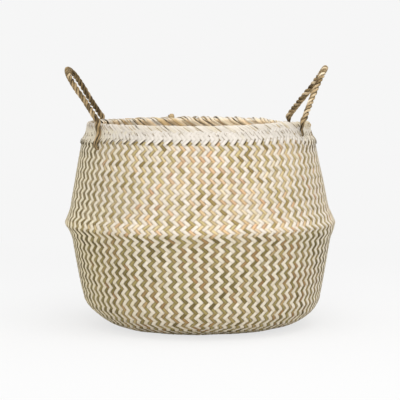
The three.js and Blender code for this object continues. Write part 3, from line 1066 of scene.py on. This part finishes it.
for azimuth, outwards, raised, size, width, tone in CURLED_ENDS:
    angle = np.linspace(CURL_FROM, CURL_TO, CURL_STEPS)
    radial, tangent = around_axis(radians(azimuth))[0], around_axis(radians(azimuth + 90))[0]
    spiral = size * np.linspace(1.0, CURL_TIGHTENS, CURL_STEPS)
    out = np.cos(angle)[:, None] * radial + np.sin(angle)[:, None] * UP
    level = rim_middle + rim_wave(radians(azimuth)) + raised
    place = radial * (rim_ring + outwards) + UP * level + out * spiral[:, None] + ASIDE
    side = np.tile(tangent, (CURL_STEPS, 1))
    wraps.append(flat_strip(place, out, side, width, CURL_THICKNESS, (tone, CURL_SHADE, 0.0)))

rim_leaf = leaf_material(
    "rim_leaf",
    [(226, 196, 146), (253, 226, 186), (254, 235, 202), (253, 243, 226)],
    [(210, 195, 161), (214, 206, 193), (221, 213, 202)],
    fibre=0.14,
    flecks=0.12,
    edge=0.22,
    relief=0.5,
)
seam_shade_leaf = leaf_material(
    "seam_shade_leaf",
    [(104, 84, 44), (158, 134, 82), (186, 160, 108)],
    [(84, 68, 36), (122, 102, 58), (158, 134, 82)],
)
rim_wraps = loft("rim_wraps", wraps, rim_leaf)
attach(rim_wraps, "collar")
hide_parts("rim_wrap")
rim_seam_shades = loft("rim_seam_shades", seam_shades, seam_shade_leaf)
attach(rim_seam_shades, "collar")

# The rope handles
# Each handle is one rope of three seagrass strands laid up to the right, each strand of three
# yarns twisted the other way. Its ends run down the border and go through it to their knots.
HINGE_RADIUS = 0.1786
HINGE_HEIGHT = 0.318
LOOP_LENGTH = 0.0915

# Each handle's middle and half width in degrees round the basket, its loop's lean in degrees and
# how its sides splay. How far below the rim its holes lie and, in degrees, how far beyond its feet;
# whether its tails curve, and how far its front foot stands aside. Its rope's radius, the far half's
# share of it, and the tails' at the hole and above. Its tone, and what the far half and tails add.
HANDLES = [
    {
        "side": "left", "azimuth": 181, "spread": 31.2, "lean": 32.8, "splay": 0.0026,
        "drop": 0.037, "drift": 2.6, "curved_tail": True, "foot_aside": 0.0, "rope": 0.0043,
        "far_rope": 1.0, "tail": (0.55, 1.0), "tone": 0.38, "far_tone": -0.12,
        "tail_tone": 0.06,
    },
    {
        "side": "right", "azimuth": 2.7, "spread": 33.9, "lean": 30.6, "splay": -0.0049,
        "drop": 0.019, "drift": -3.8, "curved_tail": False, "foot_aside": 0.0018,
        "rope": 0.0044, "far_rope": 1.12, "tail": (0.32, 0.56), "tone": 0.54, "far_tone": -0.05,
        "tail_tone": -0.42,
    },
]

# The loop's line: shares of the half span and of the length, and of the splay out of its plane
HALF_LOOP = [
    (-1.0, 0.0, 0.0),
    (-0.99, 0.1, 0.0),
    (-0.87, 0.24, 0.05),
    (-0.73, 0.42, 0.3),
    (-0.65, 0.62, 0.75),
    (-0.48, 0.86, 0.8),
]
LOOP_ROUTE = HALF_LOOP + [(0.0, 1.0, 0.0)] + [(-span, rise, -splay) for span, rise, splay in HALF_LOOP[::-1]]


def smooth_route(points, steps):
    """A centripetal Catmull-Rom curve through the points."""
    p = np.concatenate([[2 * points[0] - points[1]], points, [2 * points[-1] - points[-2]]])
    spacing = np.sqrt(np.linalg.norm(np.diff(p, axis=0), axis=1))
    t = np.linspace(0, 1, steps, endpoint=False)[:, None]
    line = []
    for k in range(1, len(p) - 2):
        before, here, after = spacing[k - 1], spacing[k], spacing[k + 1]
        a, b, c, d = p[k - 1], p[k], p[k + 1], p[k + 2]
        leave = here * ((b - a) / before - (c - a) / (before + here) + (c - b) / here)
        arrive = here * ((c - b) / here - (d - b) / (here + after) + (d - c) / after)
        line.append(
            (2 * t**3 - 3 * t**2 + 1) * b + (t**3 - 2 * t**2 + t) * leave
            + (3 * t**2 - 2 * t**3) * c + (t**3 - t**2) * arrive
        )
    return np.concatenate(line + [[p[-2]]])


def evenly(points, step):
    """The same line with its points a step apart, and their lengths along it."""
    length = line_lengths(points)
    even = np.arange(0, length[-1], step)
    return np.stack([np.interp(even, length, points[:, k]) for k in range(3)], axis=-1), even


def feet_of(handle):
    """The front foot and the back foot: its name, its azimuth and its hole's azimuth."""
    to_front = 1 if cos(radians(handle["azimuth"])) < 0 else -1
    reach = handle["spread"] + handle["drift"]
    return [
        (name, handle["azimuth"] + way * handle["spread"], handle["azimuth"] + way * reach)
        for name, way in (("front", to_front), ("back", -to_front))
    ]


TAIL_TOP = HINGE_HEIGHT - 0.008
TAIL_PROUD = 0.0056
TAIL_SLACK = 0.0008
TAIL_INSIDE = 0.009
TAIL_IN_HOLE = 0.0025
TAIL_BEND_PROUD = 0.6
TAIL_BEND_RISES = (0.0015, 0.0055, 0.010)
TAIL_UPPER_REST = 0.011
LONG_TAIL = 0.02


def tail_points(handle, azimuth, hole_azimuth):
    """The rope end on the border, from the knot through the hole and up to the hinge."""
    height = rim_high.z - handle["drop"]
    outer = wall_radius(height)
    proud = TAIL_PROUD * handle["tail"][0]
    first, second, third = (height + rise for rise in TAIL_BEND_RISES)
    stations = [
        (outer - TAIL_INSIDE, height),
        (outer - TAIL_IN_HOLE, height),
        (outer + TAIL_BEND_PROUD * proud, first),
        (max(outer + proud, HINGE_RADIUS - 2 * TAIL_SLACK), second),
        (max(wall_radius(third) + proud, HINGE_RADIUS - TAIL_SLACK), third),
    ]
    if height + LONG_TAIL < TAIL_TOP:
        upper = TAIL_TOP - TAIL_UPPER_REST
        stations.append((max(wall_radius(upper) + proud, HINGE_RADIUS - TAIL_SLACK), upper))
    stations.append((HINGE_RADIUS, TAIL_TOP))
    points = []
    for radius, z in stations:
        climbed = (z - height) / (TAIL_TOP - height)
        if handle["curved_tail"]:
            climbed = smoothstep(climbed, 0, 1)
        turn = radians(hole_azimuth + (azimuth - hole_azimuth) * climbed)
        points.append((radius * cos(turn) + lean(z) * (z < TAIL_TOP), radius * sin(turn), z))
    return np.array(points)


def handle_frame(handle):
    """The loop's middle foot point, and its directions to the back, up the loop and out of its plane."""
    tilt = radians(handle["lean"])
    outward = around_axis(radians(handle["azimuth"]))[0]
    to_back = around_axis(radians(handle["azimuth"] + 90))[0]
    to_back = to_back if to_back[1] > 0 else -to_back
    along = outward * sin(tilt) + UP * cos(tilt)
    normal = outward * cos(tilt) - UP * sin(tilt)
    middle = outward * HINGE_RADIUS * cos(radians(handle["spread"])) + UP * HINGE_HEIGHT
    return middle, to_back, along, normal


ROUTE_STEPS = 12
FOOT_REACH = 0.010


def handle_route(handle):
    """The whole line of one handle's rope, from its front hole over the loop to its back hole."""
    middle, to_back, along, normal = handle_frame(handle)
    half_span = HINGE_RADIUS * sin(radians(handle["spread"]))
    loop = []
    for span, rise, splay in LOOP_ROUTE:
        point = middle + to_back * span * half_span + along * rise * LOOP_LENGTH
        loop.append(point + normal * splay * handle["splay"])
    front, back = (tail_points(handle, azimuth, hole) for _, azimuth, hole in feet_of(handle))
    line = smooth_route(np.concatenate([front, loop, back[::-1]]), ROUTE_STEPS)
    line[:, 0] += handle["foot_aside"] * (hump(line[:, 2], HINGE_HEIGHT, FOOT_REACH) * (line[:, 1] < 0))
    return line


ROPE_LAY = 0.0255
YARN_LAY = 0.024
ROPE_STEP = 0.0009
YARNS = 3
SECTION_POINTS = 15
START_NORMAL = (0.3, 0.2, 0.93)
STRAND_TONES = (0.16, 0.0, -0.16)
STRAND_OFFSET = 0.53
STRAND_SIZE = 0.49
YARN_BULGE = 0.07
YARN_TONES = 0.14
GROOVE_SHADE = 0.16
FACE_SHADE = 0.96
GROOVE_BAND = (0.62, 0.97)
YARN_SHADE = 0.06
YARN_STARTS = (0, 6)
LAY_WANDER = (0.10, 0.06)
OFFSET_WANDER = (0.04, 0.05)
SIZE_WANDER = (0.05, 0.03)
YARN_WANDER = (0.16, 0.045)
STRAND_WANDER = (0.12, 0.07)
LEAF_ROUND_STRAND = 0.3


def carried_frames(line):
    """Two directions across a line, carried along it without twisting."""
    tangent = unit(np.gradient(line, axis=0))
    normals = [unit(np.cross(tangent[0], START_NORMAL))]
    for t in tangent[1:]:
        normals.append(unit(normals[-1] - t * np.dot(normals[-1], t)))
    normals = np.array(normals)
    return normals, np.cross(tangent, normals)


def rope_strands(line, radius, twist, tones, generator):
    """The strands of a right-laid rope along a line. Radius, twist and tones have a value for each
    point, and twist is the angle that the lay has turned by there."""
    normal, binormal = carried_frames(line)
    length = line_lengths(line)
    around = np.linspace(0, 2 * pi, SECTION_POINTS, endpoint=False)
    strands = []
    for k, strand_tone in enumerate(STRAND_TONES):
        phase = twist + 2 * pi * k / len(STRAND_TONES) + slow_noise(length, *LAY_WANDER, generator)
        offset = STRAND_OFFSET * radius * (1 + slow_noise(length, *OFFSET_WANDER, generator))
        aside = np.cos(phase)[:, None] * normal + np.sin(phase)[:, None] * binormal
        centre = line + offset[:, None] * aside
        across, over = carried_frames(centre)
        local = around[None, :] + (2 * pi * length / YARN_LAY + generator.uniform(*YARN_STARTS))[:, None]
        swell = 1 + slow_noise(length, *SIZE_WANDER, generator)
        size = STRAND_SIZE * (radius * swell)[:, None] * (1 + YARN_BULGE * np.cos(YARNS * local))
        aside = np.cos(around)[:, None] * across[:, None] + np.sin(around)[:, None] * over[:, None]
        rings = centre[:, None] + size[:, :, None] * aside
        from_axis = np.linalg.norm(rings - line[:, None, :], axis=2) / radius[:, None]
        yarn = np.floor((local % (2 * pi)) / (2 * pi / YARNS)).astype(int)
        yarn_tones = []
        for _ in range(YARNS):
            own = generator.uniform(-YARN_TONES, YARN_TONES)
            yarn_tones.append(own + slow_noise(length, *YARN_WANDER, generator))
        tone = (tones + strand_tone + slow_noise(length, *STRAND_WANDER, generator))[:, None]
        tone = tone + np.take_along_axis(np.stack(yarn_tones, axis=1), yarn, axis=1)
        # Painted shade in the grooves between the strands, and a painted highlight on each yarn's crest.
        shade = GROOVE_SHADE + FACE_SHADE * smoothstep(from_axis, *GROOVE_BAND)
        strands.append(
            {
                "rings": rings,
                "across": 0.5 + LEAF_ROUND_STRAND * np.sin(around),
                "tone": np.clip(tone, *TONE_LIMITS),
                "shade": shade + YARN_SHADE * np.cos(YARNS * local),
                "lit_or_outer_face": np.zeros(len(line)),
            }
        )
    return strands


FAR_HALF = (0.48, 0.58)
TAIL_LAY = 0.25
TAIL_THIN_TO = HINGE_HEIGHT - 0.012
TAIL_ENDS = (HINGE_HEIGHT - 0.008, HINGE_HEIGHT + 0.001)

rope_leaf = leaf_material(
    "rope_leaf",
    [(86, 69, 43), (126, 107, 71), (172, 149, 111), (214, 195, 161), (240, 226, 198)],
    fibre=0.70,
    flecks=0.35,
    relief=1.0,
)
rope_rng = np.random.default_rng(21)
for handle in HANDLES:
    line, length = evenly(handle_route(handle), ROPE_STEP)
    far = smoothstep(length / length[-1], *FAR_HALF)
    tail = 1 - smoothstep(line[:, 2], *TAIL_ENDS)
    thin = np.interp(line[:, 2], [rim_high.z - handle["drop"], TAIL_THIN_TO], handle["tail"])
    radius = handle["rope"] * (1 + (handle["far_rope"] - 1) * far) * (1 + (thin - 1) * tail)
    tones = handle["tone"] + handle["far_tone"] * far + handle["tail_tone"] * tail
    twist = np.cumsum(2 * pi / ROPE_LAY * (1 + (TAIL_LAY - 1) * tail)) * ROPE_STEP
    side = handle["side"]
    strands = rope_strands(line, radius, twist, tones, rope_rng)
    rope = loft(f"{side}_handle_rope", strands, rope_leaf)
    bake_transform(rope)
    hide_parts(f"{side}_handle_loop", f"{side}_front_rope_tail", f"{side}_back_rope_tail")

# The knots
# Inside the border each rope end is tied in a tight overhand knot, which stops it in its hole.
KNOT_SIZE = 0.0024
KNOT_DEPTH = 0.0031
KNOT_ROPE = 0.0029
KNOT_LAY = 0.02
KNOT_TONE = 0.5
KNOT_INSIDE = 0.0125
KNOT_STEPS = 160
KNOT_FROM = 0.35
KNOT_TO = 2 * pi + 0.2

for handle in HANDLES:
    for place, _, hole_azimuth in feet_of(handle):
        height = rim_high.z - handle["drop"]
        outward = around_axis(radians(hole_azimuth))[0]
        sideways = around_axis(radians(hole_azimuth + 90))[0]
        centre = outward * (wall_radius(height) - KNOT_INSIDE) + UP * height + ASIDE
        t = np.linspace(KNOT_FROM, KNOT_TO, KNOT_STEPS)[:, None]
        line = (
            centre
            + KNOT_SIZE * (np.sin(t) + 2 * np.sin(2 * t)) * sideways
            + KNOT_SIZE * (np.cos(t) - 2 * np.cos(2 * t)) * UP
            + KNOT_DEPTH * np.sin(3 * t) * outward
        )
        line, length = evenly(line, ROPE_STEP)
        twist = 2 * pi * length / KNOT_LAY
        radius, tones = np.full(len(line), KNOT_ROPE), np.full(len(line), KNOT_TONE)
        strands = rope_strands(line, radius, twist, tones, rope_rng)
        knot = loft(f"{handle['side']}_{place}_tied_knot", strands, rope_leaf)
        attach(knot, "collar")
        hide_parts(f"{handle['side']}_{place}_knot")
